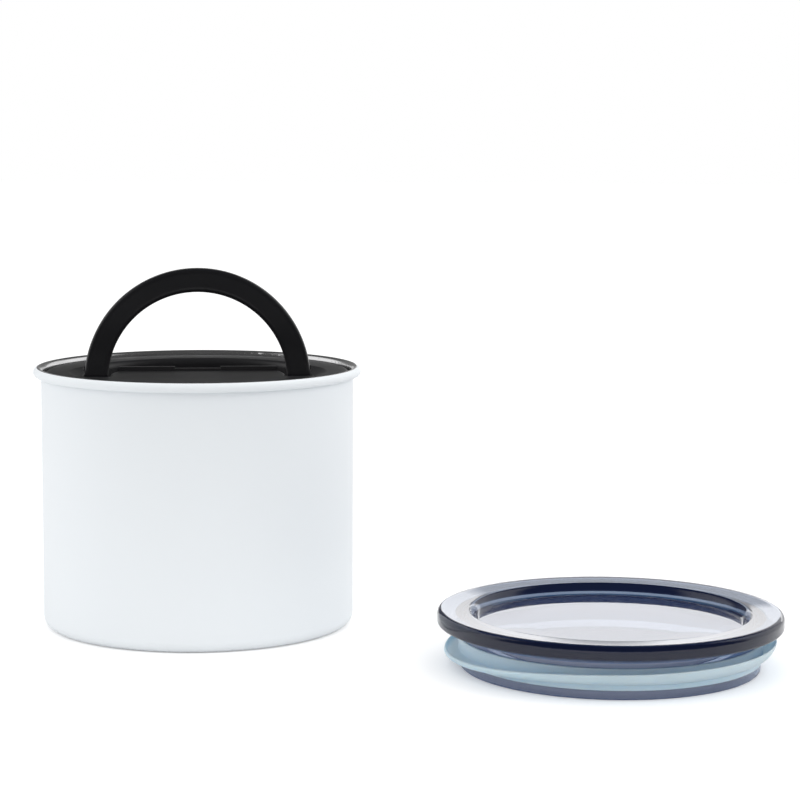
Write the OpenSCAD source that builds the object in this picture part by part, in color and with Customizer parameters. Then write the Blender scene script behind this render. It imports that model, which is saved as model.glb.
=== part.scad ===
// Coffee canister with a push-down inner lid, a folding handle that works an
// air valve, and a clear outer lid that lies beside it. Millimetres, +Z up.
// The origin is the centre of the canister's base, the handle's hinge runs
// along X, and the handle folds back towards +Y.

/* [Canister] */
// Outside diameter of the steel wall
can_d = 121; // [118:0.5:135]
// Height from the base to the top of the rolled rim
can_h = 101; // [92:1:140]
// Thickness of the steel
steel_t = 0.7; // [0.5:0.05:0.9]
// Diameter of the roll that finishes the rim
roll_d = 3.7; // [3.2:0.1:4.4]
// Outside radius of the corner between wall and base
corner_r = 4; // [3:0.25:6]
// Radius of the flat pad in the middle of the base
pad_r = 38; // [30:1:42]
// Width of the stiffening groove round the pad
groove_w = 9; // [6:0.5:11]
// Height by which the groove is pressed in
groove_h = 0.8; // [0.4:0.1:1.2]

/* [Inner lid] */
// How far the lid's top lies below the rim
lid_drop = 1.8; // [0.8:0.1:3.5]
// Radial gap between the lid's edge and the steel wall
lid_gap = 1; // [0.7:0.1:1.4]
// Height of the top moulding
lid_h = 20; // [19.5:0.25:23]
// Thickness of the moulded walls
lid_t = 2.2; // [1.8:0.1:2.5]
// Radius that rounds the lid's top edge
lid_edge_r = 1.2; // [0.6:0.1:1.6]
// Depth of the shallow tray in front of the handle
tray_h = 1.6; // [0.8:0.1:2]
// Distance from the hinge back to the wall of the handle's recess
recess_y = 15.6; // [14:0.2:18]
// Width of the flat margin in front of the tray
tray_margin = 8.8; // [7.4:0.2:11]
// Radius that rounds the tray's front edge
tray_edge_r = 1.2; // [0.6:0.1:1.4]
// Radius that rounds the upper edge of the recess's wall
recess_edge_r = 2.4; // [1:0.1:2.4]
// Thickness of the wall between tray and recess
ridge_t = 3; // [2.4:0.1:4]
// Radius that rounds that wall's top edges
ridge_edge_r = 0.5; // [0.3:0.1:0.8]
// Width of the finger notch in that wall
notch_w = 18; // [12:1:26]
// Depth of the finger notch
notch_h = 0.7; // [0.4:0.1:1.2]
// Length of the finger relief outside each foot
relief_l = 36; // [30:1:40]
// Width of that relief
relief_w = 5; // [3.6:0.2:6]
// Depth of that relief beside the foot
relief_h = 2.5; // [2.5:0.1:2.7]
// Distance by which its middle lies in front of the hinge
relief_y = 3; // [1:0.5:6]
// Thickness of the base plate
base_t = 3.2; // [2.8:0.1:4]

/* [Lid seal] */
// Height of the silicone ring
seal_h = 6.8; // [6:0.1:7.6]
// Depth of the seat that holds the ring
seal_seat = 2.2; // [1.8:0.1:2.6]
// Thickness of each sealing lip
lip_t = 0.7; // [0.5:0.05:0.9]
// Gap between the relaxed lips and the steel wall
lip_gap = 0.3; // [0.25:0.05:0.5]

/* [Handle] */
// Outside radius of the arch
arch_r = 43.9; // [40:0.1:44.2]
// Width of the band, seen from the front
arch_w = 9.1; // [7.5:0.1:10]
// Thickness of the band, front to back
arch_t = 8; // [7:0.1:8.6]
// Radius that rounds the band's long edges
arch_edge_r = 1.8; // [1:0.1:2.4]
// Gap round the handle in its recess
arch_gap = 0.9; // [0.6:0.1:1.1]
// Radius of the hinge pins
pin_r = 1.5; // [1.2:0.05:1.8]
// Radial running clearance of the handle on its pins
pin_gap = 0.05; // [0.02:0.01:0.1]

/* [Valve] */
// How far the valve opens when the handle stands up
valve_lift = 2.5; // [1.5:0.1:2.8]
// Distance from the hinge down to the crossbar with the valve open
cam_r = 6.5; // [6.2:0.1:7]
// Gap between the handle's cams and the crossbar
cam_gap = 0.25; // [0.15:0.05:0.35]
// Width of the crossbar
bar_w = 9; // [7:0.5:10]
// Thickness of the crossbar
bar_t = 3; // [2.5:0.1:3.4]
// Radius of the valve stem
stem_r = 3; // [2.6:0.1:3.4]
// Radial running clearance of the stem in its guide
stem_gap = 0.05; // [0.02:0.01:0.1]
// Radius of the silicone valve disc
disc_r = 15; // [14.8:0.2:18]
// Thickness of the silicone valve disc
disc_t = 1.6; // [1.2:0.1:2]
// Gap between the closed disc and its seat
seat_gap = 0.2; // [0.1:0.05:0.3]
// Radius of the air holes under the disc
vent_r = 2.4; // [1.8:0.1:2.4]
// Number of air holes
vent_n = 6; // [4:1:7]
// Radius of the return spring's coil, to the middle of the wire
coil_r = 7.4; // [7:0.1:7.8]
// Diameter of the spring wire
wire_d = 0.9; // [0.6:0.1:1.1]
// Turns of the return spring
coil_n = 3.5; // [2.5:0.5:4]

/* [Outer lid] */
// Sideways distance from the canister's axis to the outer lid's
cap_x = 148.6; // [132:0.2:190]
// Distance by which the outer lid lies nearer the viewer
cap_y = 86; // [70:1:110]
// Radial step from the flange's edge out to the rolled rim's edge
cap_inset = 0.7; // [0:0.1:2]
// Overall height of the outer lid
cap_h = 20.6; // [19.6:0.1:24]
// Height of the flange's underside above the lid's lower edge
flange_z = 15.2; // [14.8:0.1:15.6]
// Height of the lip below the gasket
cap_lip_h = 3.3; // [2.8:0.1:4]
// Height of the gasket's seat
cap_seat_h = 7.9; // [7:0.1:8.4]
// Thickness of the gasket's fin
fin_t = 0.65; // [0.5:0.05:0.9]
// Gap from the outer lid's neck to the steel wall when it is on
neck_gap = 5.2; // [4.6:0.1:6]
// Thickness of the outer lid's walls
cap_t = 2.3; // [1.8:0.1:2.6]
// Radius of the clear flat floor of the dish
dish_r = 47; // [40:0.5:48]
// Depth of the dish
dish_h = 4.6; // [3.8:0.1:5.2]
// Width of the flat crest inside the rim's rounded edge
crest_w = 2.2; // [1:0.2:4]
// Squeeze of the gasket's fin against the steel wall when the lid is on
fin_squeeze = 0.5; // [0.2:0.1:0.8]

/* [Hidden] */
$fn = 96;
// A little extra length that carries a cut clear of the face it opens
over = 0.5;

// Canister
can_r = can_d / 2;
can_in = can_r - steel_t;
roll_r = roll_d / 2;
roll_c = can_in + roll_r;
roll_z = can_h - roll_r;
rim_r = can_in + roll_d;
// Clearance between the free edge of the roll and the wall
roll_gap = 0.3;
// Angle below the horizontal at which the roll's free edge stops
roll_end = acos((roll_c - can_r - roll_gap) / roll_r);

// Inner lid levels and radii
lid_z = can_h - lid_drop;
lid_r = can_in - lid_gap;
skirt_z = lid_z - lid_h;
seat_r = lid_r - seal_seat;
seat_z = skirt_z + seal_h;
bore_low_r = seat_r - lid_t;
bore_high_r = lid_r - lid_t;
tray_z = lid_z - tray_h;
base_z = skirt_z - base_t;

// Handle, its hinge and its recess
flush_gap = 0.2;
// Clearance round the parts of the handle and the valve that swing or lift
swing_gap = 0.6;
hinge_z = lid_z - arch_t / 2 - flush_gap;
arch_in = arch_r - arch_w;
arch_mid = arch_r - arch_w / 2;
recess_r = arch_r + arch_gap;
recess_z = hinge_z - arch_t / 2 - swing_gap;
channel_r = arch_in - arch_gap;
tray_r = lid_r - tray_margin;
// Half the width of a foot's pocket, and the pocket's reach to the front
pocket_w = arch_w / 2 + arch_gap;
pocket_y = cam_r + swing_gap;
// Radius of the pocket's corners, and of the rounding along its upper edge
pocket_corner_r = 1.6;
pocket_edge_r = 0.8;
// Distance behind the hinge at which the recess floor starts
heel_y = cam_r + 1.5;
// How far the pins' ends lie inside the walls that hold them
pin_sink = 0.3;

// Cam on each foot: the support distance falls evenly with the fold angle
cam_k = valve_lift / 90 * 180 / PI;
cam_toe = arch_t / 2 - cam_k;
function cam_point(a) =
    let (h = cam_r - valve_lift * a / 90)
    [h * sin(a) - cam_k * cos(a), -h * cos(a) - cam_k * sin(a)];

// Crossbar, stem and disc with the valve open
bar_z = hinge_z - cam_r - cam_gap;
bar_low = bar_z - bar_t;
disc_z = base_z - seat_gap - valve_lift;
tip_r = stem_r - 0.6;
hub_r = stem_r + 2.6;
hub_z = skirt_z + 2.6;
spring_pad_r = coil_r + 1.8;
// Depth of the pilot bore for the screw that holds the disc
pilot_h = 8;
vent_pcd = coil_r + wire_d / 2 + vent_r + 0.6;
seat_land = 1.2;

// Lid screws
screw_n = 4;
boss_r = 3;
screw_pcd_r = seat_r - lid_t - boss_r + 0.4;
screw_r = 1.25;
screw_hole_r = 1.5;
screw_head_r = 2.6;
screw_head_h = 1.6;
screw_l = 9;
// Depth of a screw head below the plate's face, and the clearance round it
head_gap = 0.4;
// Free space beyond a screw's tip in its bore
tip_gap = 0.6;

// Outer lid, drawn from its lower edge up
cap_r = rim_r - cap_inset;
neck_r = can_in - neck_gap;
cap_in = neck_r - cap_t;
floor_z = cap_h - dish_h;
cap_edge_r = 1.9;
crest_r = cap_r - cap_edge_r;
blend_r = 2.2;
hollow_r = 1.5;
groove_d = 1.1;
// How far the gasket's band stands out of its seat
band_out = 0.4;
// Free space above and below the gasket in its seat
band_gap = 0.1;
fin_r = can_in + fin_squeeze;

// Colours
black = [0.1, 0.1, 0.11];
white = [0.93, 0.94, 0.95];
steel = [0.78, 0.79, 0.8];
smoke = [0.3, 0.36, 0.42, 0.45];
silicone = [0.75, 0.82, 0.86];

// Rectangle with round corners, centred, made of true arcs
module round_rect(w, h, r) {
    square([w - 2 * r, h], center = true);
    square([w, h - 2 * r], center = true);
    for (x = [-1, 1], y = [-1, 1])
        translate([x * (w / 2 - r), y * (h / 2 - r)]) circle(r);
}

// Quarter ring in the first quadrant turned by a, for bent sheet corners
module quarter_ring(r_out, r_in, a) {
    rotate(a) difference() {
        circle(r_out);
        circle(r_in);
        translate([-2 * r_out, -2 * r_out]) square([2 * r_out, 4 * r_out]);
        translate([-2 * r_out, -2 * r_out]) square([4 * r_out, 2 * r_out]);
    }
}

// Profile of the deep-drawn base: pad, pressed groove and standing ring
module base_profile() {
    ramp = 1.2;
    groove_end = pad_r + groove_w;
    edge = can_r - corner_r;
    polygon([
        [0, 0], [pad_r, 0], [pad_r + ramp, groove_h],
        [groove_end - ramp, groove_h], [groove_end, 0], [edge, 0],
        [edge, steel_t], [groove_end + steel_t / 3, steel_t],
        [groove_end - ramp + steel_t / 3, groove_h + steel_t],
        [pad_r + ramp - steel_t / 3, groove_h + steel_t],
        [pad_r - steel_t / 3, steel_t], [0, steel_t]
    ]);
}

// Rim rolled outwards: a tube whose free edge stops short of the wall
module roll_profile() {
    translate([roll_c, roll_z]) difference() {
        circle(roll_r);
        circle(roll_r - steel_t);
        polygon([
            [0, 0], [-roll_d, 0], [-roll_d, -roll_d],
            [-roll_d * cos(roll_end), -roll_d * sin(roll_end)]
        ]);
    }
}

module canister_body() {
    color(white) rotate_extrude() {
        base_profile();
        translate([can_r - corner_r, corner_r])
            quarter_ring(corner_r, corner_r - steel_t, -90);
        translate([can_in, corner_r]) square([steel_t, roll_z - corner_r]);
        roll_profile();
    }
}

// Places its children at the two feet of the handle
module at_feet() {
    for (s = [-1, 1]) translate([s * arch_mid, 0, hinge_z]) children();
}

// Places its children at the screws of the base plate
module at_screws() {
    for (i = [0:screw_n - 1])
        rotate(45 + i * 360 / screw_n) translate([screw_pcd_r, 0, 0]) children();
}

// Half-disc behind the line y, of radius r, between two levels
module half_disc(r, y, z_low, z_high) {
    intersection() {
        translate([0, 0, z_low]) cylinder(r = r, h = z_high - z_low);
        translate([-2 * r, y, z_low]) cube([4 * r, 2 * r, z_high - z_low]);
    }
}

// Solid outer form of the top moulding, with a rounded edge and a seal seat
module lid_outer_profile() {
    square_w = lid_r - lid_edge_r;
    translate([0, skirt_z]) square([seat_r, lid_h - lid_edge_r]);
    translate([0, seat_z]) square([lid_r, lid_z - lid_edge_r - seat_z]);
    translate([0, seat_z]) square([square_w, lid_z - seat_z]);
    translate([square_w, lid_z - lid_edge_r]) circle(lid_edge_r);
}

// Hollow under the top moulding
module lid_hollow_profile() {
    translate([0, skirt_z - over]) square([bore_low_r, seat_z + lid_t - skirt_z + over]);
    translate([0, seat_z + lid_t])
        square([bore_high_r, tray_z - lid_t - seat_z - lid_t]);
}

// Ring that the handle's arch lies in when it is folded, clipped in Y and
// grown outwards by g
module arch_ring(g, y_low, y_high, z_low) {
    intersection() {
        translate([0, 0, z_low]) difference() {
            cylinder(r = recess_r + g, h = lid_z + over - z_low);
            translate([0, 0, -over])
                cylinder(r = arch_in - arch_gap - g, h = lid_z + 3 * over - z_low);
        }
        translate([-2 * can_r, y_low - g, z_low - over])
            cube([4 * can_r, y_high - y_low + 2 * g, lid_z + 3 * over - z_low]);
    }
}

// Recess of the folded handle, grown outwards by g
module handle_space(g) {
    half_disc(recess_r + g, recess_y - g, recess_z - g, lid_z + over);
    arch_ring(g, heel_y, recess_y, recess_z - g);
}

// Slots that the feet swing in, with rounded front corners
module foot_slots() {
    c = pocket_corner_r;
    arch_ring(0, c - pocket_y, heel_y, skirt_z);
    arch_ring(-c, -c - pocket_y, c, skirt_z);
    at_slot_corners() cylinder(r = c, h = lid_z + over - skirt_z);
}

// Places its children at the centres of the slots' front corners
module at_slot_corners() {
    y = pocket_corner_r - pocket_y;
    for (s = [-1, 1], r = [channel_r + pocket_corner_r, recess_r - pocket_corner_r])
        translate([s * sqrt(r * r - y * y), y, skirt_z]) children();
}

// Cutter for the rounding of an upper edge: r is the wall's distance from the
// axis of the turn, z the level of the edge, e the radius of the rounding.
// side is 1 where the material lies outside the wall and -1 where inside
module edge_cutter(r, z, e, side) {
    difference() {
        translate([side > 0 ? r - over : r - e, z - e]) square([e + over, e + over]);
        translate([r + side * e, z - e]) circle(e);
    }
}

// Rounded edge of the tray along the slots
module slot_edges() {
    e = pocket_edge_r;
    y = pocket_corner_r - pocket_y;
    x_in = sqrt(pow(channel_r + pocket_corner_r, 2) - y * y);
    x_out = sqrt(pow(recess_r - pocket_corner_r, 2) - y * y);
    intersection() {
        rotate_extrude() edge_cutter(channel_r, tray_z, e, -1);
        translate([-can_r, y, tray_z - can_r])
            cube([can_d, recess_y - ridge_t - y, can_d]);
    }
    at_slot_corners() translate([0, 0, -skirt_z]) rotate_extrude()
        edge_cutter(pocket_corner_r, tray_z, e, 1);
    for (s = [-1, 1])
        translate([s * (x_in + x_out) / 2 - (x_out - x_in) / 2, 0, 0])
            rotate([90, 0, 90]) linear_extrude(x_out - x_in)
                edge_cutter(-pocket_y, tray_z, e, -1);
}

// Shallow tray between the feet, from the front margin back to the recess
module tray() {
    intersection() {
        rotate_extrude() {
            translate([0, tray_z]) square([tray_r, tray_h + over]);
            edge_cutter(tray_r, lid_z, tray_edge_r, 1);
        }
        translate([-recess_r, -can_r, tray_z - over])
            cube([2 * recess_r, can_r + recess_y, tray_h + 3 * over]);
    }
}

// Section of the ridge between tray and recess, up to the level top
module ridge_profile(top) {
    e = ridge_edge_r;
    low = tray_z - lid_t / 2;
    translate([recess_y - ridge_t, low]) square([ridge_t, top - e - low]);
    translate([recess_y - ridge_t + e, low]) square([ridge_t - 2 * e, top - low]);
    for (y = [recess_y - ridge_t + e, recess_y - e]) translate([y, top - e]) circle(e);
}

// Ridge across the lid, lower where the finger notch is
module ridge() {
    intersection() {
        union() {
            translate([-can_r, 0, 0]) rotate([90, 0, 90])
                linear_extrude(can_d) ridge_profile(lid_z - notch_h);
            for (x = [-can_r, notch_w / 2]) translate([x, 0, 0]) rotate([90, 0, 90])
                linear_extrude(can_r - notch_w / 2) ridge_profile(lid_z);
        }
        translate([0, 0, skirt_z]) cylinder(r = channel_r, h = lid_h);
    }
}

// Long shallow scoops outside the feet, cut by large spheres
module finger_reliefs() {
    rise = (pow(relief_l / 2, 2) / relief_h - relief_h) / 2;
    plan_r = (pow(relief_l / 2, 2) + pow(relief_w, 2)) / (2 * relief_w);
    ball_r = sqrt(rise * rise + plan_r * plan_r);
    for (s = [-1, 1]) intersection() {
        translate([s * (recess_r + relief_w - plan_r), -relief_y, lid_z + rise])
            sphere(ball_r);
        union() {
            translate([s > 0 ? recess_r : -can_r, -can_r, tray_z - lid_t])
                cube([can_r - recess_r, can_r, can_r]);
            translate([s > 0 ? arch_mid : -can_r, 0, tray_z - lid_t])
                cube([can_r - arch_mid, can_r, can_r]);
        }
    }
}

module lid_top() {
    slot_low = bar_z + valve_lift + swing_gap;
    color(black) {
        difference() {
            union() {
                difference() {
                    rotate_extrude() lid_outer_profile();
                    rotate_extrude() lid_hollow_profile();
                }
                intersection() {
                    translate([0, 0, skirt_z])
                        cylinder(r = bore_high_r + over, h = lid_z - lid_edge_r - skirt_z);
                    union() {
                        handle_space(lid_t);
                        arch_ring(lid_t, -pocket_y, heel_y, slot_low);
                    }
                }
                at_screws() translate([0, 0, skirt_z]) cylinder(r = boss_r, h = tray_z - skirt_z);
            }
            handle_space(0);
            foot_slots();
            slot_edges();
            tray();
            finger_reliefs();
            rotate_extrude(angle = 180) edge_cutter(recess_r, lid_z, recess_edge_r, 1);
            at_feet() rotate([0, 90, 0])
                cylinder(r = pin_r, h = 2 * (pocket_w + lid_t + over), center = true);
            at_screws() translate([0, 0, skirt_z - over])
                cylinder(r = screw_r, h = screw_l + over);
        }
        ridge();
    }
}

module lid_base() {
    edge_step = 0.5;
    spigot_h = 2.4;
    spigot_t = 1.8;
    spigot_gap = 0.2;
    seat_ring_w = 5;
    seat_ring_h = 0.6;
    spigot_r = bore_low_r - spigot_gap;
    color(black) difference() {
        union() {
            translate([0, 0, base_z]) cylinder(r = lid_r - edge_step, h = base_t);
            translate([0, 0, skirt_z]) difference() {
                cylinder(r = spigot_r, h = spigot_h);
                translate([0, 0, -over])
                    cylinder(r = spigot_r - spigot_t, h = spigot_h + 2 * over);
                at_screws() translate([0, 0, -over])
                    cylinder(r = boss_r + spigot_gap, h = spigot_h + 2 * over);
            }
            translate([0, 0, skirt_z]) cylinder(r = hub_r, h = hub_z - skirt_z);
        }
        translate([0, 0, base_z - over])
            cylinder(r = stem_r + stem_gap, h = hub_z - base_z + 2 * over);
        for (i = [0:vent_n - 1])
            rotate(i * 360 / vent_n) translate([vent_pcd, 0, base_z - over])
                cylinder(r = vent_r, h = base_t + 2 * over);
        at_screws() {
            translate([0, 0, base_z - over]) cylinder(r = screw_hole_r, h = base_t + 2 * over);
            translate([0, 0, base_z - over])
                cylinder(r = screw_head_r + head_gap, h = screw_head_h + head_gap + over);
        }
        // Shallow ring turned away round the valve's seat
        translate([0, 0, base_z - over]) difference() {
            cylinder(r = disc_r + seat_ring_w, h = over + seat_ring_h);
            translate([0, 0, -over])
                cylinder(r = disc_r + seat_land, h = 3 * over + seat_ring_h);
        }
    }
}

// Ring with two lips that lean out to the steel wall
module lid_seal() {
    band_t = 1.5;
    lip_r = can_in - lip_gap;
    ring_r = seat_r + band_t;
    // Rise of each lip from its root to its edge, and its thickening there
    lean = 0.6 * (lip_r - ring_r);
    root_t = 0.3;
    root_in = 0.2;
    low_lip = 0.9;
    high_lip = seal_h - 2.2;
    color(silicone) rotate_extrude() {
        translate([seat_r, skirt_z]) square([band_t, seal_h]);
        for (z = [skirt_z + low_lip, skirt_z + high_lip])
            polygon([
                [ring_r - root_in, z], [lip_r, z + lean],
                [lip_r, z + lean + lip_t], [ring_r - root_in, z + lip_t + root_t]
            ]);
    }
}

module lid_screws() {
    color(steel) at_screws() translate([0, 0, base_z + head_gap]) {
        cylinder(r = screw_head_r, h = screw_head_h);
        cylinder(r = screw_r, h = base_t + screw_l - head_gap - tip_gap);
    }
}

// Side of a foot: a block whose lower end is the cam
module foot_profile() {
    polygon(concat(
        [[arch_t / 2, 0], [arch_t / 2, -cam_k]],
        [for (a = [84:-6:0]) cam_point(a)],
        [for (a = [270:-15:180])
            [-cam_k + cam_toe * cos(a), -cam_r + cam_toe + cam_toe * sin(a)]],
        [[-arch_t / 2, 0]]
    ));
}

// Foot with its upright and lower edges rounded like the band's
module foot() {
    intersection() {
        translate([-arch_w / 2, 0, 0]) rotate([90, 0, 90])
            linear_extrude(arch_w) foot_profile();
        translate([0, 0, -cam_r - over])
            linear_extrude(cam_r + over) round_rect(arch_w, arch_t, arch_edge_r);
        translate([0, arch_t, 0]) rotate([90, 0, 0])
            linear_extrude(2 * arch_t) round_rect(arch_w, 2 * cam_r, arch_edge_r);
    }
}

module handle() {
    color(black) difference() {
        union() {
            translate([0, 0, hinge_z]) rotate([90, 0, 0]) rotate_extrude(angle = 180)
                translate([arch_mid, 0]) round_rect(arch_w, arch_t, arch_edge_r);
            at_feet() foot();
        }
        at_feet() rotate([0, 90, 0])
            cylinder(r = pin_r + pin_gap, h = arch_w + 2 * over, center = true);
    }
}

module hinge_pins() {
    color(steel) at_feet() rotate([0, 90, 0])
        cylinder(r = pin_r, h = 2 * (pocket_w + lid_t - pin_sink), center = true);
}

// Crossbar under both cams, with the stem that carries the valve disc
module valve_bridge() {
    bar_l = 2 * arch_mid + arch_w - 1;
    color(black) difference() {
        union() {
            translate([0, 0, bar_low]) linear_extrude(bar_t) {
                square([bar_l - bar_w, bar_w], center = true);
                for (s = [-1, 1]) translate([s * (bar_l - bar_w) / 2, 0]) circle(bar_w / 2);
                circle(spring_pad_r);
            }
            translate([0, 0, disc_z]) cylinder(r = stem_r, h = bar_low - disc_z + over);
            translate([0, 0, disc_z - disc_t]) cylinder(r = tip_r, h = disc_t + over);
        }
        translate([0, 0, disc_z - disc_t - over]) cylinder(r = screw_r, h = pilot_h + over);
    }
}

// Soft disc with a raised sealing rim
module valve_disc() {
    rim_h = 0.5;
    rim_w = 0.8;
    foot_step = 1;
    low = disc_z - disc_t;
    color(silicone) difference() {
        union() {
            translate([0, 0, low]) cylinder(r = disc_r - foot_step, h = disc_t - rim_h);
            translate([0, 0, low + rim_h]) cylinder(r = disc_r, h = disc_t - rim_h);
        }
        translate([0, 0, disc_z - rim_h])
            cylinder(r = disc_r - seat_land - rim_w, h = rim_h + over);
        translate([0, 0, low - over]) cylinder(r = tip_r, h = disc_t + 2 * over);
    }
}

module valve_screw() {
    head_r = 5.5;
    head_h = 1.8;
    color(steel) translate([0, 0, disc_z - disc_t - head_h]) {
        cylinder(r = head_r, h = head_h);
        cylinder(r = screw_r, h = head_h + pilot_h - tip_gap);
    }
}

// Return spring, wound as one tube between the base plate and the crossbar
coil_gap = 0.05;
coil_low = skirt_z + wire_d / 2 + coil_gap;
coil_high = bar_low - wire_d / 2 - coil_gap;
coil_steps = 20;
coil_sides = 6;
function coil_rings() = floor(coil_n * coil_steps) + 1;
function coil_point(i, j) =
    let (
        a = i * 360 / coil_steps,
        f = i / (coil_rings() - 1),
        b = j * 360 / coil_sides,
        r = coil_r + wire_d / 2 * cos(b)
    )
    [r * cos(a), r * sin(a), coil_low + (coil_high - coil_low) * f + wire_d / 2 * sin(b)];

module valve_spring() {
    rings = coil_rings();
    points = [for (i = [0:rings - 1], j = [0:coil_sides - 1]) coil_point(i, j)];
    walls = [for (i = [0:rings - 2], j = [0:coil_sides - 1], k = [0, 1])
        let (
            p = i * coil_sides + j,
            q = i * coil_sides + (j + 1) % coil_sides
        )
        k == 0 ? [p, p + coil_sides, q] : [q, p + coil_sides, q + coil_sides]];
    low_end = [for (j = [1:coil_sides - 2]) [0, j, j + 1]];
    last = (rings - 1) * coil_sides;
    high_end = [for (j = [1:coil_sides - 2]) [last, last + j + 1, last + j]];
    color(steel) polyhedron(points = points, faces = concat(walls, low_end, high_end));
}

// Outer lid: flange over the rim, neck with the gasket's seat, dished top
module cap_outer_profile() {
    low_r = 1;
    translate([0, flange_z]) square([cap_r - low_r, cap_h - cap_edge_r - flange_z]);
    translate([0, flange_z + low_r]) square([cap_r, cap_h - cap_edge_r - flange_z - low_r]);
    translate([cap_r - low_r, flange_z + low_r]) circle(low_r);
    translate([0, flange_z + low_r]) square([crest_r, cap_h - flange_z - low_r]);
    translate([crest_r, cap_h - cap_edge_r]) circle(cap_edge_r);
    translate([0, low_r]) square([neck_r, flange_z - low_r + over]);
    square([neck_r - low_r, low_r + over]);
    translate([neck_r - low_r, low_r]) circle(low_r);
    // Concave blend from the neck out to the flange
    difference() {
        translate([neck_r - over, flange_z - blend_r])
            square([blend_r + over, blend_r + over]);
        translate([neck_r + blend_r, flange_z - blend_r]) circle(blend_r);
    }
}

// Dished top: a flat floor that rises in a soft double curve to the rim's crest
module dish_profile() {
    steps = 14;
    crest_in = crest_r - crest_w;
    slope = [for (i = [0:steps])
        [dish_r + (crest_in - dish_r) * i / steps,
         floor_z + dish_h * (1 - cos(180 * i / steps)) / 2]];
    polygon(concat(slope, [[crest_in, cap_h + over], [0, cap_h + over], [0, floor_z]]));
}

// Hollow under the dish
module cap_hollow_profile() {
    top = floor_z - cap_t;
    translate([0, -over]) square([cap_in, top - hollow_r + over]);
    translate([0, -over]) square([cap_in - hollow_r, top + over]);
    translate([cap_in - hollow_r, top - hollow_r]) circle(hollow_r);
}

module outer_lid() {
    color(smoke) translate([cap_x, -cap_y, 0]) rotate_extrude() difference() {
        cap_outer_profile();
        dish_profile();
        cap_hollow_profile();
        // Seat of the gasket
        translate([neck_r - groove_d, cap_lip_h]) square([groove_d + over, cap_seat_h]);
    }
}

// Gasket of the outer lid: a band in its seat, with one wide fin that curves
// up and ends in a round edge
module outer_lid_seal() {
    seat = neck_r - groove_d;
    band_r = neck_r + band_out;
    low = cap_lip_h + band_gap;
    // Height of the fin's root above the gasket's lower edge
    fin_root = 2.1;
    arc_r = fin_r - band_r;
    arc_end = 10;
    mid_r = arc_r - fin_t / 2;
    tip_round = fin_t / 2 - 0.04;
    color(silicone) translate([cap_x, -cap_y, 0]) rotate_extrude() {
        translate([seat, low]) square([groove_d + band_out, cap_seat_h - 2 * band_gap]);
        translate([band_r, low + fin_root + arc_r]) {
            intersection() {
                difference() {
                    circle(arc_r);
                    circle(arc_r - fin_t);
                }
                polygon([
                    [-band_out, 0], [-band_out, -2 * arc_r], [2 * arc_r, -2 * arc_r],
                    [2 * arc_r, -2 * arc_r * tan(arc_end)], [0, 0]
                ]);
            }
            translate([mid_r * cos(arc_end), -mid_r * sin(arc_end)]) circle(tip_round);
        }
    }
}

canister_body();
lid_top();
lid_base();
lid_seal();
lid_screws();
handle();
hinge_pins();
valve_bridge();
valve_disc();
valve_screw();
valve_spring();
outer_lid();
outer_lid_seal();
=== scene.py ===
# %% [markdown]
# # A coffee canister with an air valve
#
# The construction comes in as a finished frame: a steel canister, a black inner
# lid with an upright handle, and a smoked outer lid that lies beside it. This
# script gives each piece its finish, turns the clear lid and its gasket finely,
# and lights the set in white surroundings, as in the photograph.

# %% Load the frame
import math

import bpy
from mathutils import Matrix, Vector


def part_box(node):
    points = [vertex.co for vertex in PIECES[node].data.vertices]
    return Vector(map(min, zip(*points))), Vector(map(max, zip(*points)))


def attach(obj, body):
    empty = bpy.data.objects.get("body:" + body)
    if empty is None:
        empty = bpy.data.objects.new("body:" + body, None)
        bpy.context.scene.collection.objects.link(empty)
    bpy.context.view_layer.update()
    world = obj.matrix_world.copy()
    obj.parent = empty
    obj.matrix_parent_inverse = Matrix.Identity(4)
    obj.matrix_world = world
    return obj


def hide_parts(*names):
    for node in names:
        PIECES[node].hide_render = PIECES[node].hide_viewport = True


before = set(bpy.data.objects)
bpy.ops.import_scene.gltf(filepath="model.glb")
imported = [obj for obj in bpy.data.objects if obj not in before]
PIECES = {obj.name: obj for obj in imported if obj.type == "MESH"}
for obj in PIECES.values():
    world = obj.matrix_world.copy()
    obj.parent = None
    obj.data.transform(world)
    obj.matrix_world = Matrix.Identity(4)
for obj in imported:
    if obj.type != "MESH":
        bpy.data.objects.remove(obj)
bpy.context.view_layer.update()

MM = 0.001
print("pieces in the frame:", ", ".join(sorted(PIECES)))

# %% [markdown]
# ## Sizes read from the frame
#
# Heights and radii that a finish depends on could be typed in, but they would
# be wrong as soon as the construction changed. So they are worked out from the
# boxes of the pieces themselves. Only the steel's thickness, the size of the
# rolled edge and the line where the paint stops can't be read from a box.

# %% Sizes
STEEL_T = 0.7 * MM
ROLL_D = 3.7 * MM
PAINT_PAST_CREST = 0.5 * MM


def radius_of(node):
    """Half the width of a node's box, in metres."""
    low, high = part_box(node)
    return (high.x - low.x) / 2


def centre_of(node):
    """Centre of a node's box, in metres."""
    low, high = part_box(node)
    return (low + high) / 2


RIM_R = radius_of("canister_body")
RIM_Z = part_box("canister_body")[1].z
WALL_IN = RIM_R - ROLL_D
CREST_R = WALL_IN + ROLL_D / 2
PAINT_R = CREST_R + PAINT_PAST_CREST
ROLL_Z = RIM_Z - ROLL_D / 2
LID_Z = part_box("lid_top")[1].z
CAP = centre_of("outer_lid")
print("rim radius %.1f mm, height %.1f mm" % (RIM_R / MM, RIM_Z / MM))

# %% [markdown]
# ## The camera
#
# The viewpoint was worked out from the outlines of the canister: how round the
# rim and the base look gives the height, and how the two compare gives the
# distance. The lens follows from the size of the canister in the picture. The
# camera could be turned by three angles, but its axes are written out as a
# matrix here, which keeps the small roll apart from the turn and the tilt.

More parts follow.
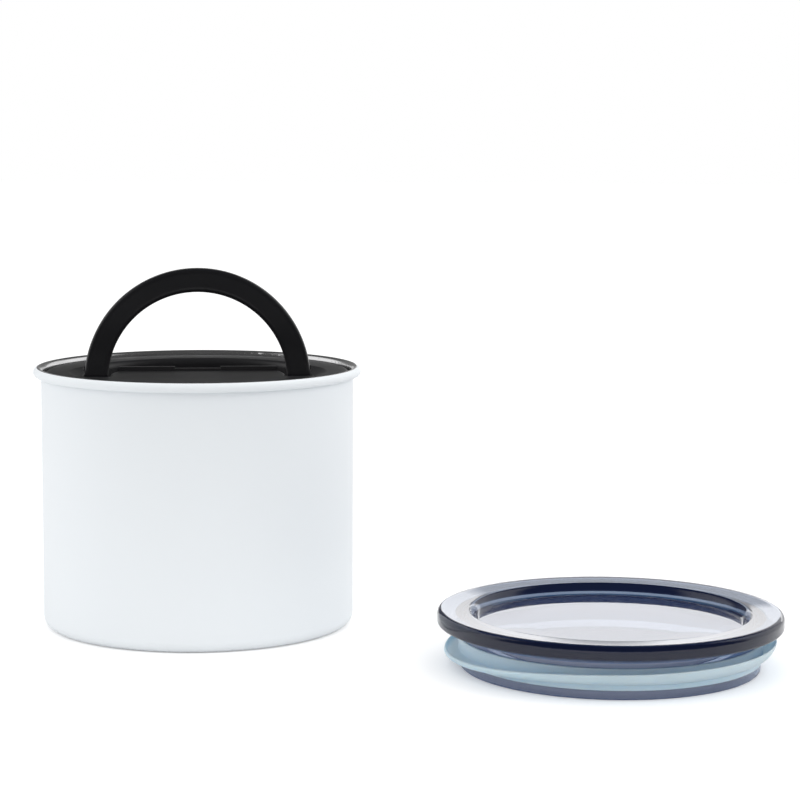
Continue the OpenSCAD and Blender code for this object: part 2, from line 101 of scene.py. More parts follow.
# %% Camera
CAMERA_DISTANCE = 0.928
CAMERA_HEIGHT = 0.1987
CAMERA_YAW = math.radians(4.87)
CAMERA_PITCH = math.radians(6.84)
CAMERA_ROLL = math.radians(0.25)
FRAME_PX = 800
FOCAL_PX = 2387
SENSOR_MM = 36
VIEW_END = 50


def make_camera():
    """Camera in front of the canister, turned a little to the right and down."""
    data = bpy.data.cameras.new("camera")
    data.sensor_width = SENSOR_MM
    data.lens = FOCAL_PX / FRAME_PX * SENSOR_MM
    data.clip_end = VIEW_END
    camera = bpy.data.objects.new("camera", data)
    bpy.context.scene.collection.objects.link(camera)
    ahead = Vector((
        math.sin(CAMERA_YAW) * math.cos(CAMERA_PITCH),
        math.cos(CAMERA_YAW) * math.cos(CAMERA_PITCH),
        -math.sin(CAMERA_PITCH),
    ))
    side = Vector((math.cos(CAMERA_YAW), -math.sin(CAMERA_YAW), 0))
    up = side.cross(ahead)
    right = side * math.cos(CAMERA_ROLL) + up * math.sin(CAMERA_ROLL)
    above = up * math.cos(CAMERA_ROLL) - side * math.sin(CAMERA_ROLL)
    turn = Matrix((right, above, -ahead)).transposed().to_4x4()
    place = Matrix.Translation((0, -CAMERA_DISTANCE, CAMERA_HEIGHT))
    camera.matrix_world = place @ turn
    bpy.context.scene.camera = camera
    return camera


camera = make_camera()
print("lens %.1f mm" % camera.data.lens)

# %% [markdown]
# ## Small helpers for nodes
#
# A finish is a chain of nodes, and so are the surroundings. Written out one by
# one, the nodes would fill pages, so these helpers make and link them in one
# call each. Wherever a helper takes a value, it takes a plain number or the
# output of another node.

# %% Helpers for nodes
class Wiring:
    """Short calls for the nodes of a finish or of the surroundings."""

    def __init__(self, tree):
        self.tree = tree

    def node(self, kind, **settings):
        """New node of a kind, with its settings."""
        made = self.tree.nodes.new(kind)
        for key, value in settings.items():
            setattr(made, key, value)
        return made

    def link(self, source, target):
        """Link from an output to an input."""
        self.tree.links.new(source, target)

    def feed(self, socket, value):
        """Links an output to an input, or writes a plain value on the input."""
        if hasattr(value, "is_output"):
            self.link(value, socket)
        else:
            socket.default_value = value

    def math(self, operation, a, b=0.0, clamp=False):
        """Result of one operation on a and b."""
        made = self.node("ShaderNodeMath", operation=operation, use_clamp=clamp)
        self.feed(made.inputs[0], a)
        self.feed(made.inputs[1], b)
        return made.outputs[0]

    def ramp(self, value, span, out_low=0.0, out_high=1.0, soft=False):
        """Maps value from a span (low, high) to out_low..out_high, clamped."""
        made = self.node("ShaderNodeMapRange")
        if soft:
            made.interpolation_type = "SMOOTHSTEP"
        for name, number in (
            ("Value", value), ("From Min", span[0]), ("From Max", span[1]),
            ("To Min", out_low), ("To Max", out_high),
        ):
            self.feed(made.inputs[name], number)
        return made.outputs[0]

    def parts(self, vector):
        """The X, Y and Z outputs of a vector."""
        made = self.node("ShaderNodeSeparateXYZ")
        self.link(vector, made.inputs[0])
        return made.outputs


FULL_SPAN = (0.0, 1.0)
print("helpers for nodes ready")

# %% [markdown]
# A finish could be painted on a picture and wrapped round the piece, but that
# needs unwrapping and shows its seams. These finishes start from the piece's
# own coordinates instead, so they have no seams and stay put when the piece
# moves. Most of a noise lies between 0.3 and 0.7, and that stretch is what
# the helper called vary spreads over a finish's own limits.

# %% Helpers for finishes
NOISE_SPAN = (0.3, 0.7)
SEED_SHIFT = (1.0, 0.7, 0.3)
BEVEL_SAMPLES = 6


class Finish(Wiring):
    """A material under construction."""

    def __init__(self, name):
        self.material = bpy.data.materials.new(name)
        self.material.use_nodes = True
        super().__init__(self.material.node_tree)
        self.tree.nodes.clear()
        self.output = self.node("ShaderNodeOutputMaterial")
        self.shader = self.node("ShaderNodeBsdfPrincipled")
        self.link(self.shader.outputs[0], self.output.inputs["Surface"])
        self.place = self.node("ShaderNodeTexCoord").outputs["Object"]

    def set(self, **values):
        """Sets shader sockets by name; an underscore stands for a space."""
        for key, value in values.items():
            self.feed(self.shader.inputs[key.replace("_", " ")], value)

    def noise(self, scale, detail=2.0, roughness=0.5, stretch=(1, 1, 1), seed=0.0):
        """Noise over the piece's own coordinates; scale is in waves per metre."""
        mapping = self.node("ShaderNodeMapping")
        mapping.inputs["Scale"].default_value = stretch
        mapping.inputs["Location"].default_value = [seed * shift for shift in SEED_SHIFT]
        self.link(self.place, mapping.inputs["Vector"])
        made = self.node("ShaderNodeTexNoise")
        made.inputs["Scale"].default_value = scale
        made.inputs["Detail"].default_value = detail
        made.inputs["Roughness"].default_value = roughness
        self.link(mapping.outputs[0], made.inputs["Vector"])
        return made.outputs["Fac"]

    def vary(self, noise, low, high):
        """A value that a noise moves from low to high."""
        return self.ramp(noise, NOISE_SPAN, low, high)

    def mix(self, factor, a, b):
        """Blend of two colours by factor; a and b are colours or outputs."""
        made = self.node("ShaderNodeMix", data_type="RGBA")
        self.link(factor, made.inputs["Factor"])
        for socket, value in zip((made.inputs[6], made.inputs[7]), (a, b)):
            self.feed(socket, value if hasattr(value, "is_output") else (*value, 1))
        return made.outputs[2]

    def bump(self, height, distance, strength=1.0, edge=0.0):
        """Bump from a height, over edges rounded by the given radius."""
        made = self.node("ShaderNodeBump")
        made.inputs["Strength"].default_value = strength
        made.inputs["Distance"].default_value = distance
        self.link(height, made.inputs["Height"])
        if edge:
            bevel = self.node("ShaderNodeBevel", samples=BEVEL_SAMPLES)
            bevel.inputs["Radius"].default_value = edge
            self.link(bevel.outputs[0], made.inputs["Normal"])
        self.link(made.outputs[0], self.shader.inputs["Normal"])

    def radius_and_height(self):
        """Distance from the canister's upright axis, and height, in metres."""
        x, y, z = self.parts(self.place)
        flat = self.math("ADD", self.math("MULTIPLY", x, x), self.math("MULTIPLY", y, y))
        return self.math("SQRT", flat), z


def dress(finish, *pieces):
    """Gives pieces, named or as objects, their finish."""
    for piece in pieces:
        mesh_object = PIECES[piece] if isinstance(piece, str) else piece
        mesh_object.data.materials.clear()
        mesh_object.data.materials.append(finish.material)
    print("finish", finish.material.name, "on pieces:", len(pieces))


print("noise spread over %.1f to %.1f" % NOISE_SPAN)

# %% [markdown]
# ## Painted and polished steel
#
# The canister is one deep-drawn shell. Outside it has a matte white powder
# coat, which is slightly pebbled, and the paint stops just outside the crest
# of the rolled rim. Inside the steel is bare: polished on the roll and the top
# of the wall, and satin further down, with faint lines that run round it from
# the wheel.
#
# Each face could be given one of several materials, but the paint line would
# then follow the edges of the mesh. So one material holds them all, split by
# radius and height. First comes its mask of the bare steel: the inside of the
# shell and the inner half of the roll's top, less the faces low down that look
# at the table.

# %% Where the steel is bare
FACES_DOWN = -0.3
BASE_H = 6 * MM


def bare_mask(finish, radius, height):
    """1 on bare steel and 0 on paint."""
    inner_wall = finish.math("LESS_THAN", radius, WALL_IN + STEEL_T / 2)
    on_roll = finish.math("GREATER_THAN", height, ROLL_Z)
    inside_crest = finish.math("LESS_THAN", radius, PAINT_R)
    roll_half = finish.math("MULTIPLY", on_roll, inside_crest)
    normal = finish.node("ShaderNodeNewGeometry").outputs["True Normal"]
    faces_down = finish.math("LESS_THAN", finish.parts(normal)["Z"], FACES_DOWN)
    low_down = finish.math("LESS_THAN", height, BASE_H)
    underside = finish.math("MULTIPLY", faces_down, low_down)
    inside = finish.math("MAXIMUM", inner_wall, roll_half)
    return finish.math("SUBTRACT", inside, underside, clamp=True)


print("paint stops at radius %.1f mm" % (PAINT_R / MM))

# %% [markdown]
# The satin wall scatters more light than the roll does. As a pure metal it
# looked almost black in the picture, so the satin gives up a fifth of its
# metal to plain scattering. It fades in over a few millimetres below the level
# of the inner lid's top.

# %% Steel shell
PAINT_LOW, PAINT_HIGH = (0.855, 0.89, 0.92), (0.875, 0.91, 0.935)
PAINT_ROUGH = (0.5, 0.62)
PEBBLE_DEPTH = 0.03 * MM
PEBBLE_STRENGTH = 0.5
STEEL_LOW, STEEL_HIGH = (0.70, 0.70, 0.705), (0.80, 0.80, 0.81)
STEEL_ROUGH = (0.18, 0.26)
WHEEL_STRETCH = (0.04, 0.04, 30)
SATIN_FADE = 6 * MM
SATIN_METAL = 0.8
SATIN_ROUGH = 0.16


def painted_steel():
    """White powder coat outside, bare steel inside."""
    finish = Finish("painted_steel")
    radius, height = finish.radius_and_height()
    bare = bare_mask(finish, radius, height)
    painted = finish.math("SUBTRACT", 1.0, bare)
    satin = finish.ramp(height, (LID_Z - SATIN_FADE, LID_Z), 1.0, 0.0)

    pebble = finish.noise(scale=1100, detail=3, roughness=0.55)
    cloud = finish.noise(scale=18, detail=2, seed=4.0)
    lines = finish.noise(scale=160, detail=4, roughness=0.7, stretch=WHEEL_STRETCH, seed=9.0)
    paint = finish.mix(cloud, PAINT_LOW, PAINT_HIGH)
    steel = finish.mix(lines, STEEL_LOW, STEEL_HIGH)
    paint_rough = finish.vary(pebble, *PAINT_ROUGH)
    steel_rough = finish.math(
        "ADD", finish.vary(lines, *STEEL_ROUGH), finish.math("MULTIPLY", satin, SATIN_ROUGH))
    finish.set(
        Base_Color=finish.mix(bare, paint, steel),
        Metallic=finish.math("MULTIPLY", bare, finish.ramp(satin, FULL_SPAN, 1.0, SATIN_METAL)),
        Roughness=finish.math(
            "ADD", finish.math("MULTIPLY", paint_rough, painted),
            finish.math("MULTIPLY", steel_rough, bare)),
        Specular_IOR_Level=0.4,
    )
    finish.bump(finish.math("MULTIPLY", pebble, painted), PEBBLE_DEPTH, PEBBLE_STRENGTH)
    return finish


dress(painted_steel(), "canister_body")

# %% [markdown]
# ## Black moulded plastic
#
# The inner lid and the handle are black plastic from a mould with a fine matte
# texture. Such a surface has a very fine grain that spreads the light, slightly
# smoother patches where hands have polished it, and round edges. The grain is
# far too fine to model, so it is a bump, and the same bump rounds the edges to
# the eye. The handle is the smoother of the two.

# %% Black plastic
GRAIN_STRENGTH = 0.6
WORN_LIGHTER = 1.5


def black_plastic(name, colour, rough, grain_depth, edge, gloss):
    """Black plastic; edge is the radius to which its edges are rounded."""
    finish = Finish(name)
    grain = finish.noise(scale=5200, detail=3, roughness=0.6)
    wear = finish.noise(scale=45, detail=4, roughness=0.6, seed=2.0)
    finish.set(
        Base_Color=finish.mix(wear, colour, tuple(c * WORN_LIGHTER for c in colour)),
        Roughness=finish.vary(wear, *rough), Specular_IOR_Level=gloss,
    )
    finish.bump(grain, grain_depth, GRAIN_STRENGTH, edge=edge)
    return finish


lid_plastic = black_plastic(
    "lid_plastic", colour=(0.009, 0.009, 0.0105), rough=(0.38, 0.46),
    grain_depth=0.02 * MM, edge=0.7 * MM, gloss=0.6)
handle_plastic = black_plastic(
    "handle_plastic", colour=(0.0055, 0.0055, 0.007), rough=(0.28, 0.36),
    grain_depth=0.015 * MM, edge=1.0 * MM, gloss=0.5)
dress(lid_plastic, "lid_top", "lid_base", "valve_bridge")
dress(handle_plastic, "handle")

# %% [markdown]
# ## Bare steel fasteners and spring
#
# Pins, screws and the spring are drawn or turned steel, duller than the
# polished roll, with fine marks from the die or the lathe. At rest little or
# nothing of them is seen, so each could do without a finish of its own, and one
# shared finish with a slight bump is enough.

# %% Bare steel
WIRE_LOW, WIRE_HIGH = (0.5, 0.5, 0.51), (0.68, 0.68, 0.69)
WIRE_ROUGH = (0.22, 0.38)
MARK_STRETCH = (1, 1, 6)
MARK_DEPTH = 0.01 * MM
MARK_STRENGTH = 0.4


def bare_steel():
    """Drawn or turned steel with fine marks."""
    finish = Finish("bare_steel")
    marks = finish.noise(scale=900, detail=4, roughness=0.7, stretch=MARK_STRETCH)
    finish.set(
        Base_Color=finish.mix(marks, WIRE_LOW, WIRE_HIGH),
        Metallic=1.0, Roughness=finish.vary(marks, *WIRE_ROUGH),
    )
    finish.bump(marks, MARK_DEPTH, MARK_STRENGTH)
    return finish


dress(bare_steel(), "lid_screws", "hinge_pins", "valve_screw", "valve_spring")

# %% [markdown]
# ## The outer lid, turned finely
#
# Clear plastic shows every facet of a mesh twice, once mirrored and once
# through the wall. So the outer lid is turned here once more, in much finer
# steps, and stands for the coarser piece. A screw modifier could turn it too,
# but a function that writes the points can also shift them, and the gasket's
# droop needs that. A section is a list of radius and height in millimetres,
# and round stretches are arcs about their centre.

# %% Turned outlines
TURN_STEPS = 240
SMOOTH_BELOW = 35


def arc(x, z, r, start, end, steps=10):
    """Points of an arc round (x, z) from one angle to another, in degrees."""
    angles = [math.radians(start + (end - start) * i / steps) for i in range(steps + 1)]
    return [(x + r * math.cos(a), z + r * math.sin(a)) for a in angles]


def turned(name, outline, centre, shift=None, crease=SMOOTH_BELOW):
    """Closed outline turned round an upright axis; shift moves points by angle."""
    vertices, faces = [], []
    count = len(outline)
    total = TURN_STEPS * count
    for i in range(TURN_STEPS):
        angle = 2 * math.pi * i / TURN_STEPS
        for r, z in outline:
            lift = shift(r, angle) if shift else 0.0
            vertices.append((
                centre.x + r * MM * math.cos(angle),
                centre.y + r * MM * math.sin(angle),
                (z + lift) * MM,
            ))
        for k in range(count):
            a, b = i * count + k, i * count + (k + 1) % count
            faces.append((a, (a + count) % total, (b + count) % total, b))
    mesh = bpy.data.meshes.new(name)
    mesh.from_pydata(vertices, [], faces)
    mesh.validate()
    mesh.shade_smooth()
    mesh.set_sharp_from_angle(angle=math.radians(crease))
    piece = bpy.data.objects.new(name, mesh)
    bpy.context.scene.collection.objects.link(piece)
    print(name, "turned from", count, "points")
    return piece


print("one step of the turn is %.1f degrees" % (360 / TURN_STEPS))

# %% [markdown]
# The top of the outer lid is a broad crest that falls gently inwards, and then
# a steep wall goes down to the flat floor of the dish. The wall could be two
# arcs that meet; half a cosine wave is simpler, and it too leaves the crest
# and meets the floor almost without an edge. A point near each end of the
# crest holds the crest straight.

# %% Wall of the dish
LID_R = radius_of("outer_lid") / MM
LID_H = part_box("outer_lid")[1].z / MM
EDGE_R = 1.9
CREST_IN = 51.6
CREST_FALL = 0.5
CREST_HOLD = 1.0
CREST_HOLD_FALL = 0.05
DISH_R = 47.4
DISH_Z = LID_H - 4.6
WALL_STEPS = 30


def dish_wall():
    """Points from the outer end of the crest down to the floor of the dish."""
    crest_z = LID_H - CREST_FALL
    points = [
        (LID_R - EDGE_R - CREST_HOLD, LID_H - CREST_HOLD_FALL),
        (CREST_IN + CREST_HOLD, crest_z + CREST_HOLD_FALL),
    ]
    for i in range(WALL_STEPS + 1):
        share = i / WALL_STEPS
        fall = (crest_z - DISH_Z) * (1 - math.cos(math.pi * share)) / 2
        points.append((CREST_IN + (DISH_R - CREST_IN) * share, crest_z - fall))
    return points


print("dish %.1f mm deep" % (LID_H - DISH_Z))

# %% [markdown]
# Below the crest, the neck carries the gasket's seat, and the flange above it
# rests on the canister's rim when the lid is on. The rings of the flat plate
# end close to the middle, because a mesh that is turned can't close on its
# own axis without faces of no area.

# %% Outline of the outer lid
NECK_R = 54.6
NECK_IN = 52.3
LIP_R = 0.3
SEAT_DEPTH = 1.1
SEAT_LOW = 3.3
SEAT_HIGH = 11.2
SEAT_R = 0.2
FLANGE_Z = 15.2
SMALL_R = 1.0
BLEND_R = 2.2
HOLLOW_R = 1.5
PLATE_RINGS = (30.0, 12.0, 0.02)
PLATE_T = 2.3


def lid_outline():
    """Section of the outer lid, anticlockwise from the lower inner edge."""
    seat_r = NECK_R - SEAT_DEPTH
    plate_low = DISH_Z - PLATE_T
    return (
        arc(NECK_IN + LIP_R, LIP_R, LIP_R, 180, 270, 4)
        + arc(NECK_R - SMALL_R, SMALL_R, SMALL_R, 270, 360)
        + arc(NECK_R - SEAT_R, SEAT_LOW - SEAT_R, SEAT_R, 0, 90, 3)
        + [(seat_r, SEAT_LOW), (seat_r, SEAT_HIGH)]
        + arc(NECK_R - SEAT_R, SEAT_HIGH + SEAT_R, SEAT_R, 270, 360, 3)
        + arc(NECK_R + BLEND_R, FLANGE_Z - BLEND_R, BLEND_R, 180, 90, 14)
        + arc(LID_R - SMALL_R, FLANGE_Z + SMALL_R, SMALL_R, 270, 360)
        + arc(LID_R - EDGE_R, LID_H - EDGE_R, EDGE_R, 0, 90, 16)
        + dish_wall()
        + [(r, DISH_Z) for r in PLATE_RINGS]
        + [(r, plate_low) for r in reversed(PLATE_RINGS)]
        + arc(NECK_IN - HOLLOW_R, plate_low - HOLLOW_R, HOLLOW_R, 90, 0, 12)
    )


clear_lid = turned("clear_outer_lid", lid_outline(), CAP)
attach(clear_lid, "outer_lid")
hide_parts("outer_lid")

# %% [markdown]
# ## The gasket and its drooping fin
#
# A gasket that has been taken off and put back doesn't sit evenly. On the
# photographed lid its fin droops at the left and rises a little at the right,
# so the fin is turned here with that droop, which grows from the root to the
# edge. A lattice could bend it as well, but one formula says where each point
# goes. The fin's section is most of a quarter arc and ends in a round tip.

# %% Section of the gasket
BAND_R = NECK_R + 0.4
BAND_EDGE_R = 0.3
BAND_GAP = 0.1
SEAT_GAP = 0.02
FIN_REACH = radius_of("outer_lid_seal") / MM - BAND_R
FIN_SPARE = 0.05
FIN_T = 0.65
FIN_START, FIN_END = -82, -10
ROOT_Z = 5.5
ROOT_R = 0.4
ROOT_RISE = 0.05


def gasket_outline():
    """Section of the gasket, anticlockwise from its lower inner edge."""
    seat_r = NECK_R - SEAT_DEPTH + SEAT_GAP
    low, high = SEAT_LOW + BAND_GAP, SEAT_HIGH - BAND_GAP
    reach = FIN_REACH + FIN_SPARE
    centre_z = ROOT_Z + reach
    middle = reach - FIN_T / 2
    end = math.radians(FIN_END)
    tip_x, tip_z = BAND_R + middle * math.cos(end), centre_z + middle * math.sin(end)
    return (
        [(seat_r, low)]
        + arc(BAND_R - BAND_EDGE_R, low + BAND_EDGE_R, BAND_EDGE_R, 270, 360, 4)
        + arc(BAND_R + ROOT_R, ROOT_Z - ROOT_R, ROOT_R, 180, 90, 4)
        + arc(BAND_R, centre_z, reach, FIN_START, FIN_END, 18)
        + arc(tip_x, tip_z, FIN_T / 2, FIN_END, FIN_END + 180, 8)
        + arc(BAND_R, centre_z, reach - FIN_T, FIN_END, FIN_START, 18)
        + arc(BAND_R + ROOT_R, ROOT_Z + FIN_T + ROOT_RISE + ROOT_R, ROOT_R, 270, 180, 4)
        + arc(BAND_R - BAND_EDGE_R, high - BAND_EDGE_R, BAND_EDGE_R, 0, 90, 4)
        + [(seat_r, high)]
    )


print("gasket reaches %.1f mm out" % (BAND_R + FIN_REACH))

# %% [markdown]
# The droop at the left follows the square of the cosine round the lid, and the
# rise at the right follows the cosine itself. Both are nothing at the front and
# the back, so the two halves meet there.

# %% Gasket
FIN_DROOP = 4.6
FIN_RISE = 0.9
FIN_BEND = 1.4
GASKET_CREASE = 60


def fin_shift(r, angle):
    """Height by which a point of the fin is moved on the photographed lid."""
    if r <= BAND_R:
        return 0.0
    along = min(1.0, (r - BAND_R) / FIN_REACH) ** FIN_BEND
    side = math.cos(angle)
    return along * (FIN_RISE * side if side > 0 else -FIN_DROOP * side * side)


soft_gasket = turned(
    "soft_gasket", gasket_outline(), CAP, shift=fin_shift, crease=GASKET_CREASE)
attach(soft_gasket, "outer_lid")
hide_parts("outer_lid_seal")

# %% [markdown]
# ## Smoked clear plastic
#
# The outer lid is a clear plastic with a little grey-blue dye. A thin wall of
# it looks almost clear and a thick rim looks navy. A tinted surface would look
# the same at every thickness, so the dye is put inside the piece instead, as
# absorption by depth. A trace of blue glow stands for the light that wanders
# about inside a thick rim.

# %% Smoked plastic
DYE = (0.25, 0.36, 0.5, 1)
DYE_DENSITY = 320
GLOW = (0.15, 0.26, 1.0, 1)
GLOW_STRENGTH = 0.02
HAZE_SPAN = (0.45, 0.85)
HAZE_ROUGH = 0.02


def smoked_clear():
    """Clear plastic with dye in its depth and a little haze."""
    finish = Finish("smoked_clear")
    haze = finish.noise(scale=60, detail=3, seed=5.0)
    finish.set(
        Base_Color=(1, 1, 1, 1), Transmission_Weight=1.0, IOR=1.5,
        Emission_Color=GLOW, Emission_Strength=GLOW_STRENGTH,
        Roughness=finish.ramp(haze, HAZE_SPAN, 0.0, HAZE_ROUGH),
    )
    depth = finish.node("ShaderNodeVolumeAbsorption")
    depth.inputs["Color"].default_value = DYE
    depth.inputs["Density"].default_value = DYE_DENSITY
    finish.link(depth.outputs[0], finish.output.inputs["Volume"])
    return finish


dress(smoked_clear(), clear_lid)

# %% [markdown]
# ## Silicone
#
# The gaskets and the valve's disc are pale blue translucent silicone. Light
# goes some way in and comes out again nearby. A plain colour would look like
# paint, so the light is scattered below the surface, and the skin is matte
# from the mould.

# %% Silicone
SILICONE_LOW, SILICONE_HIGH = (0.54, 0.72, 0.87), (0.62, 0.78, 0.91)
SILICONE_ROUGH = (0.34, 0.4)
SCATTER_DEPTH = 3.0 * MM
SCATTER_COLOURS = (0.7, 0.85, 1.0)
SKIN_DEPTH = 0.01 * MM
SKIN_STRENGTH = 0.3


def silicone():
    """Pale blue translucent silicone with a matte skin."""
    finish = Finish("silicone")
    cloud = finish.noise(scale=70, detail=3, seed=7.0)
    skin = finish.noise(scale=2500, detail=2)
    finish.set(
        Base_Color=finish.mix(cloud, SILICONE_LOW, SILICONE_HIGH),
        Roughness=finish.vary(cloud, *SILICONE_ROUGH),
        Subsurface_Weight=0.8, Subsurface_Radius=SCATTER_COLOURS,
        Subsurface_Scale=SCATTER_DEPTH, Transmission_Weight=0.08, IOR=1.41,
    )
    finish.bump(skin, SKIN_DEPTH, SKIN_STRENGTH)
    return finish


dress(silicone(), soft_gasket, "lid_seal", "valve_disc")

# %% [markdown]
# ## The floor
#
# In the photograph the floor melts into the white background and keeps only a
# faint shadow where a piece touches it. Here it is white cloth. Cloth alone
# would show as a grey plane, so to the camera it also glows a little, and
# mirrors see some of that glow. To light and mirrors the cloth turns dark some
# way in front of the set, which keeps the fronts of the black parts as dark as
# in the photograph.

# %% Floor
FLOOR_R = 6.0
FLOOR_SIDES = 64
FRONT_SPAN = (0.28, 0.6)
FRONT_SHARE = 0.06
SEEN_LIFT = 0.26
MIRRORED_LIFT = 0.08
CLOTH_LOW, CLOTH_HIGH = (0.9, 0.9, 0.9), (0.905, 0.905, 0.905)
BLACK = (0.0, 0.0, 0.0)


def cloth_finish():
    """White cloth that turns dark in front of the set."""
    finish = Finish("floor")
    forward = finish.math("MULTIPLY", finish.parts(finish.place)["Y"], -1.0)
    near = finish.ramp(forward, FRONT_SPAN, 1.0, FRONT_SHARE)
    path = finish.node("ShaderNodeLightPath")
    seen = path.outputs["Is Camera Ray"]
    mirrored = finish.math("MULTIPLY", near, path.outputs["Is Glossy Ray"])
    cloth = finish.mix(finish.noise(scale=3, detail=1), CLOTH_LOW, CLOTH_HIGH)
    finish.set(
        Base_Color=finish.mix(finish.math("MAXIMUM", near, seen), BLACK, cloth),
        Roughness=1.0, Specular_IOR_Level=0.0, Emission_Color=(1, 1, 1, 1),
        Emission_Strength=finish.math(
            "MAXIMUM", finish.math("MULTIPLY", seen, SEEN_LIFT),
            finish.math("MULTIPLY", mirrored, MIRRORED_LIFT)),
    )
    return finish


def make_floor():
    """Large round floor of cloth."""
    bpy.ops.mesh.primitive_circle_add(
        vertices=FLOOR_SIDES, radius=FLOOR_R, fill_type="NGON", location=(0, 0, 0))
    floor = bpy.context.object
    floor.name = "floor"
    floor.data.materials.append(cloth_finish().material)


make_floor()
print("floor %.0f m across" % (2 * FLOOR_R))

# %% [markdown]
# ## The soft light of the surroundings
#
# A picture of a real room could light the set, but a few levels that depend on
# the direction are easier to set and to understand. A direction comes as three
# numbers: across, along, which is away from the viewer, and up. Each span says
# over which stretch of one of them a light fades. The soft light is nearly
# even, and a little weaker from low down in front.

# %% Soft light
TENT_LEVEL = 0.94
FRONT_LEVEL = 0.75
LOW_SPAN = (0.28, 0.5)
OPEN_SPAN = (0.3, 0.65)


def soft_level(nodes, along, up):
    """Level of the soft light by direction."""
    low = nodes.ramp(up, LOW_SPAN, 1.0, 0.0, soft=True)
    forward = nodes.math("MULTIPLY", along, -1.0)
    front = nodes.math("MULTIPLY", nodes.ramp(forward, OPEN_SPAN, soft=True), low)
    return nodes.ramp(front, FULL_SPAN, TENT_LEVEL, FRONT_LEVEL, soft=True)


print("soft light %.2f, low in front %.2f" % (TENT_LEVEL, FRONT_LEVEL))

# %% [markdown]
# ## What the glossy surfaces mirror
#
# Even surroundings would make steel and black plastic look flat. So glossy
# surfaces see richer ones: bright at both sides behind the set and close above
# the horizon behind it, faint a little higher up, and dim in front and above.
# That makes the crest of the steel rim a dark line with a bright band inside
# it, and leaves light only on those edges of the black parts that turn away
# from the viewer.

# %% Mirrored surroundings
ROOM_LEVEL = 0.06
SIDE_LEVEL = 1.0
BACK_LEVEL = 0.17
ACROSS_SPAN = (0.4, 0.75)
ALONG_SPAN = (-0.2, 0.2)
BEHIND_SPAN = (0.15, 0.5)
HORIZON_SPAN = (0.02, 0.09)
BACK_SPAN = (0.26, 0.6)


def mirrored_level(nodes, across, along, up):
    """Level that glossy surfaces mirror, by direction."""
    side = nodes.math(
        "MULTIPLY", nodes.ramp(nodes.math("ABSOLUTE", across), ACROSS_SPAN, soft=True),
        nodes.ramp(along, ALONG_SPAN, soft=True))
    side = nodes.ramp(side, FULL_SPAN, ROOM_LEVEL, SIDE_LEVEL, soft=True)
    horizon = nodes.ramp(up, HORIZON_SPAN, 1.0, 0.0, soft=True)
    back = nodes.ramp(up, BACK_SPAN, BACK_LEVEL, 0.0, soft=True)
    behind = nodes.ramp(along, BEHIND_SPAN, soft=True)
    back = nodes.math("MULTIPLY", behind, nodes.math("MAXIMUM", horizon, back))
    return nodes.math("MAXIMUM", side, back)


print("mirrored sides %.2f, room %.2f" % (SIDE_LEVEL, ROOM_LEVEL))

# %% [markdown]
# ## The surroundings put together
#
# Each kind of ray gets its own level. The camera sees white, and glossy and
# soft light see what the last two steps made. Light that has been mirrored more
# than once, such as light that runs round inside the steel shell, takes one
# high level, so the shell's inside stays silvery. That leaves out light that
# has passed through the clear lid on its way.

# %% Surroundings
INNER_LEVEL = 0.9
NO_GLASS_YET = 0.5
MIRRORED_TWICE = 1.5


def choose(nodes, factor, a, b):
    """The number a where factor is 0 and b where it is 1."""
    made = nodes.node("ShaderNodeMix", data_type="FLOAT")
    for socket, value in zip((made.inputs[0], made.inputs[2], made.inputs[3]), (factor, a, b)):
        nodes.feed(socket, value)
    return made.outputs[0]


def make_tent():
    """White surroundings, with one level for each kind of ray."""
    world = bpy.data.worlds.new("tent")
    world.use_nodes = True
    nodes = Wiring(world.node_tree)
    direction = nodes.node("ShaderNodeTexCoord").outputs["Generated"]
    across, along, up = nodes.parts(direction)
    path = nodes.node("ShaderNodeLightPath")
    opaque = nodes.math("LESS_THAN", path.outputs["Transmission Depth"], NO_GLASS_YET)
    again = nodes.math("GREATER_THAN", path.outputs["Glossy Depth"], MIRRORED_TWICE)
    inner = nodes.math("MULTIPLY", opaque, again)
    mirrored = choose(nodes, inner, mirrored_level(nodes, across, along, up), INNER_LEVEL)
    lit = choose(nodes, path.outputs["Is Glossy Ray"], soft_level(nodes, along, up), mirrored)
    background = world.node_tree.nodes["Background"]
    background.inputs["Color"].default_value = (1, 1, 1, 1)
    nodes.feed(background.inputs["Strength"], choose(nodes, path.outputs["Is Camera Ray"], lit, 1.0))
    bpy.context.scene.world = world


make_tent()
print("surroundings:", bpy.context.scene.world.name)

# %% [markdown]
# ## The card behind the outer lid
#
# One clean reflection fills the dish of the outer lid in the photograph, and
# the crest round it mirrors something duller. The surroundings alone are too
# dim there, so a card stands behind the lid: white, with a brighter strip at
# the height that the flat dish mirrors. Only glossy surfaces see the card, so
# it neither lights the set nor shows.

# %% Card
CARD_LEFT, CARD_RIGHT = 0.09, 0.52
CARD_Y = 0.34
CARD_TOP = 0.3
CARD_LEVEL = 0.85
STRIP_LEVEL = 2.1
STRIP_LOW = 0.08
STRIP_HIGH = 0.12
STRIP_SOFT = 0.004


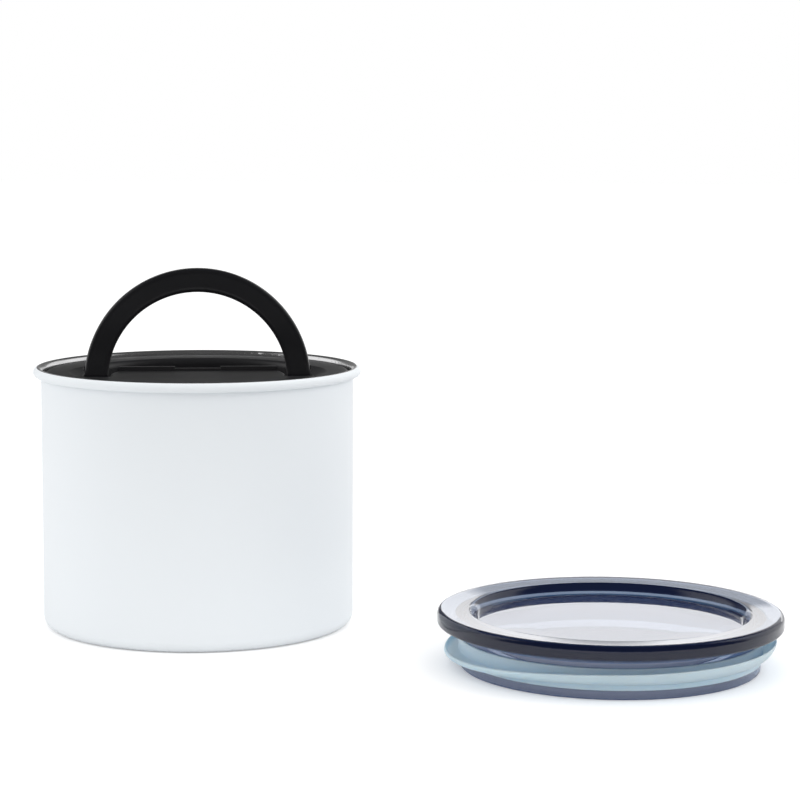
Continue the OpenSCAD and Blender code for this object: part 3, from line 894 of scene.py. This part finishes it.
def card_finish():
    """White that glows by itself, brighter in a strip."""
    finish = Finish("card")
    height = finish.parts(finish.place)["Z"]
    strip = finish.math(
        "MULTIPLY",
        finish.ramp(height, (STRIP_LOW - STRIP_SOFT, STRIP_LOW)),
        finish.ramp(height, (STRIP_HIGH, STRIP_HIGH + STRIP_SOFT), 1.0, 0.0))
    finish.set(
        Base_Color=(0, 0, 0, 1), Roughness=1.0, Specular_IOR_Level=0.0,
        Emission_Color=(1, 1, 1, 1),
        Emission_Strength=finish.ramp(strip, FULL_SPAN, CARD_LEVEL, STRIP_LEVEL),
    )
    return finish


def make_card():
    """Upright card behind the outer lid, seen only in glossy surfaces."""
    mesh = bpy.data.meshes.new("card")
    mesh.from_pydata([
        (CARD_LEFT, CARD_Y, 0.0), (CARD_RIGHT, CARD_Y, 0.0),
        (CARD_RIGHT, CARD_Y, CARD_TOP), (CARD_LEFT, CARD_Y, CARD_TOP),
    ], [], [(0, 1, 2, 3)])
    mesh.materials.append(card_finish().material)
    card = bpy.data.objects.new("card", mesh)
    bpy.context.scene.collection.objects.link(card)
    for sight in ("camera", "diffuse", "shadow", "transmission", "volume_scatter"):
        setattr(card, "visible_" + sight, False)


make_card()
print("card %.0f mm wide" % ((CARD_RIGHT - CARD_LEFT) / MM))

# %% [markdown]
# ## The lamps
#
# Lit by the surroundings alone, a white wall looks like cut paper. Three soft
# panels add a little shape: one overhead and one at each side, somewhat in
# front. The right one is stronger, to follow the shading of the white wall in
# the photograph. Glossy surfaces don't see the panels, so none of them leaves
# a highlight.

# %% Lamps
AIM = Vector((0.06, 0, 0.05))
PANELS = (
    # name, place, width in metres, power in watts
    ("top_panel", (0.1, 0.1, 1.5), 0.9, 2.0),
    ("left_panel", (-1.15, -0.5, 0.7), 0.7, 2.0),
    ("right_panel", (1.15, -0.5, 0.7), 0.7, 3.2),
)


def make_panel(name, place, width, power):
    """Square soft light that points at the set."""
    data = bpy.data.lights.new(name, "AREA")
    data.shape = "SQUARE"
    data.size = width
    data.energy = power
    panel = bpy.data.objects.new(name, data)
    bpy.context.scene.collection.objects.link(panel)
    panel.location = place
    panel.rotation_euler = (AIM - Vector(place)).to_track_quat("-Z", "Y").to_euler()
    panel.visible_glossy = False
    print(name, "of", power, "watts")


for panel_settings in PANELS:
    make_panel(*panel_settings)
bpy.context.scene.view_settings.view_transform = "Standard"
